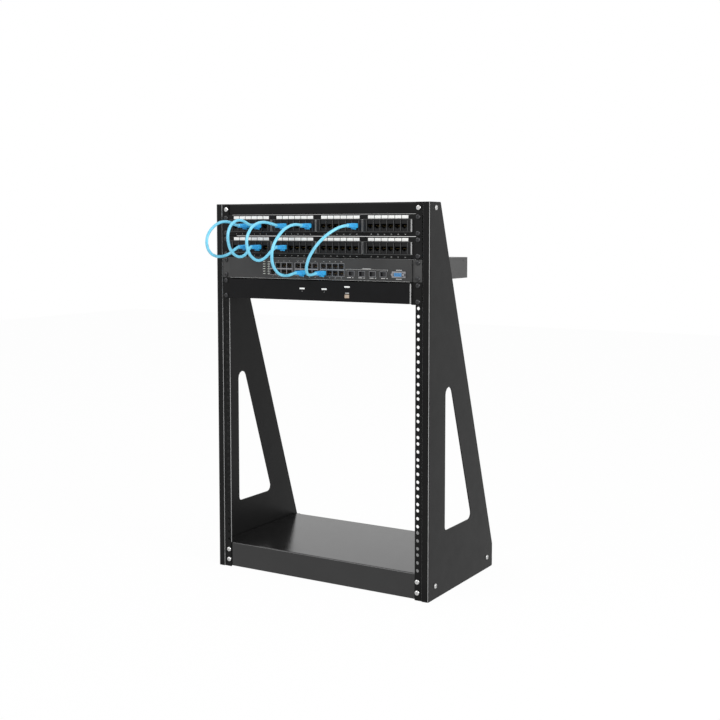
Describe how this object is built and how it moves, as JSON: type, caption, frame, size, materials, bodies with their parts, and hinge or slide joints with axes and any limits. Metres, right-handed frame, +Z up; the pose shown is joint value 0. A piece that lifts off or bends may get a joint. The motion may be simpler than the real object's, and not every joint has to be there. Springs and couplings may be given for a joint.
{
  "type": "two post open frame equipment rack",
  "caption": "Two post open frame rack with sloped side panels, a base pan and bolted-in patch panels, network switch, console unit and short patch leads.",
  "frame": {"origin": "on the floor, at the middle of the box of the rack and its bolted-in equipment without the patch leads", "axes": "+X to the right seen from the front, +Y from the front to the back, +Z up"},
  "size_m": [0.5212, 0.4454, 0.788],
  "materials": {
    "black_powder_coat": "satin",
    "zinc_screws": "bright zinc",
    "black_screws": "black oxide",
    "black_panel": "satin",
    "black_plastic": "moulded",
    "white_labels": "matte",
    "punch_down_plastic": "moulded",
    "grey_housing": "satin",
    "grey_faceplate": "satin",
    "nickel_shields": "bright",
    "blue_plastic": "moulded",
    "lamp_lenses": "clear",
    "black_bezel": "satin",
    "beige_plastic": "moulded",
    "blue_boots": "soft moulded",
    "blue_cable": "flexible jacket"
  },
  "bodies": {
    "root": {"left_side_panel": "black_powder_coat", "right_side_panel": "black_powder_coat", "left_post": "black_powder_coat", "right_post": "black_powder_coat", "top_bar": "black_powder_coat", "bottom_pan": "black_powder_coat", "left_post_screws": "zinc_screws", "right_post_screws": "zinc_screws", "left_side_screws": "zinc_screws", "right_side_screws": "zinc_screws", "left_equipment_screws": "black_screws", "right_equipment_screws": "black_screws", "upper_panel_plate": "black_panel", "upper_jack_modules": "black_plastic", "upper_label_cells": "white_labels", "upper_rear_blocks": "punch_down_plastic", "lower_panel_plate": "black_panel", "lower_jack_modules": "black_plastic", "lower_label_cells": "white_labels", "lower_rear_blocks": "punch_down_plastic", "switch_housing": "grey_housing", "switch_faceplate": "grey_faceplate", "switch_ears": "grey_housing", "switch_port_blocks": "nickel_shields", "switch_transceiver_cages": "nickel_shields", "switch_serial_port": "blue_plastic", "switch_status_lights": "lamp_lenses", "switch_power_inlet": "black_plastic", "console_housing": "black_panel", "console_bezel": "black_bezel", "console_ears": "black_panel", "console_indicators": "white_labels", "console_button": "beige_plastic", "console_rear_ports": "nickel_shields", "lead_a": "blue_cable", "lead_a_plugs": "blue_boots", "lead_b": "blue_cable", "lead_b_plugs": "blue_boots", "lead_c": "blue_cable", "lead_c_plugs": "blue_boots", "lead_d": "blue_cable", "lead_d_plugs": "blue_boots", "lead_e": "blue_cable", "lead_e_plugs": "blue_boots"}
  },
  "joints": []
}
